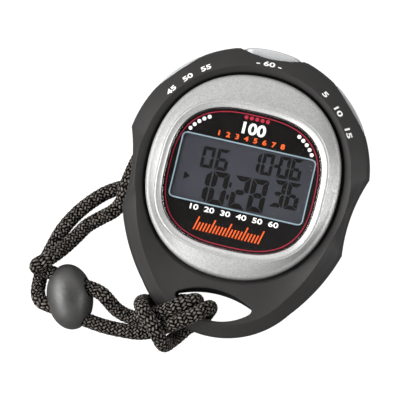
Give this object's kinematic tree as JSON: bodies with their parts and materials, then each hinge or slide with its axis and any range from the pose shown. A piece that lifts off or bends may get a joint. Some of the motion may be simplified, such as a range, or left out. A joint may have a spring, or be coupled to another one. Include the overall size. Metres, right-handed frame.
{
  "type": "digital stopwatch",
  "caption": "Digital sports stopwatch: round black case with silver bezel, dark display window, spring-return push buttons on the rim and a braided wrist lanyard with a sliding cord lock.",
  "frame": {"origin": "on the table, at the face of the rear boss, under the middle of the watch's outline without its lanyard", "axes": "+Z out of the display, +Y from the chin and lanyard eye to the mode button, +X to the right of a reader"},
  "size_m": [0.0837, 0.0853, 0.018],
  "materials": {
    "soft_touch_case": "soft-touch matt black",
    "silver_paint": "fine silver metallic paint on moulded plastic",
    "button_silver": "silver-grey satin",
    "lens": "clear acrylic over black print, polished",
    "mask_ink": "black ink",
    "display_film": "grey film",
    "display_glass": "clear, two bonded sheets",
    "frame_plastic": "off-white moulded",
    "rubber": "matt",
    "steel": "plain bright",
    "brass": "rolled",
    "board": "green lacquer on glass-fibre board",
    "chip_resin": "black potting resin",
    "capacitor": "fired",
    "braided_cord": "braided polyester, black with pale flecks",
    "lock_plastic": "satin black"
  },
  "bodies": {
    "case": {"case_body": "soft_touch_case", "rear_cover": "soft_touch_case", "cover_gasket": "rubber", "cover_screws": "steel", "silver_bezel": "silver_paint", "window_lens": "lens", "lens_mask": "mask_ink", "display_polariser": "display_film", "display_glass": "display_glass", "display_reflector": "display_film", "module_frame": "frame_plastic", "connector_strips": "rubber", "circuit_board": "board", "board_screws": "steel", "chip_blob": "chip_resin", "quartz_crystal": "steel", "chip_capacitors": "capacitor", "contact_leaves": "brass", "coin_cell": "steel", "battery_clip": "steel", "battery_leaf": "brass", "sounder_disc": "brass", "sounder_spring": "brass", "start_stop_spring": "steel", "lap_reset_spring": "steel", "mode_spring": "steel", "lanyard_cord": "braided_cord"},
    "start_stop_button": {"start_stop_cap": "button_silver", "start_stop_stem": "steel", "start_stop_seal": "rubber", "start_stop_clip": "steel"},
    "lap_reset_button": {"lap_reset_cap": "button_silver", "lap_reset_stem": "steel", "lap_reset_seal": "rubber", "lap_reset_clip": "steel"},
    "mode_button": {"mode_cap": "button_silver", "mode_stem": "steel", "mode_seal": "rubber", "mode_clip": "steel"},
    "cord_lock": {"cord_lock": "lock_plastic"}
  },
  "joints": [
    {"name": "start_stop_press", "type": "slide", "parent": "case", "child": "start_stop_button", "axis": [-0.7314, -0.682, 0], "range_m": [0, 0.0012], "stiffness_N_per_m": 800, "springref_m": -0.001, "deforming": ["start_stop_spring"]},
    {"name": "lap_reset_press", "type": "slide", "parent": "case", "child": "lap_reset_button", "axis": [0.7314, -0.682, 0], "range_m": [0, 0.0012], "stiffness_N_per_m": 800, "springref_m": -0.001, "deforming": ["lap_reset_spring"]},
    {"name": "mode_press", "type": "slide", "parent": "case", "child": "mode_button", "axis": [0, -1, 0], "range_m": [0, 0.0012], "stiffness_N_per_m": 800, "springref_m": -0.001, "deforming": ["mode_spring"]},
    {"name": "cord_lock_slide", "type": "slide", "parent": "case", "child": "cord_lock", "axis": [0.9903, -0.1392, 0], "range_m": [-0.0003, 0.0008]}
  ]
}
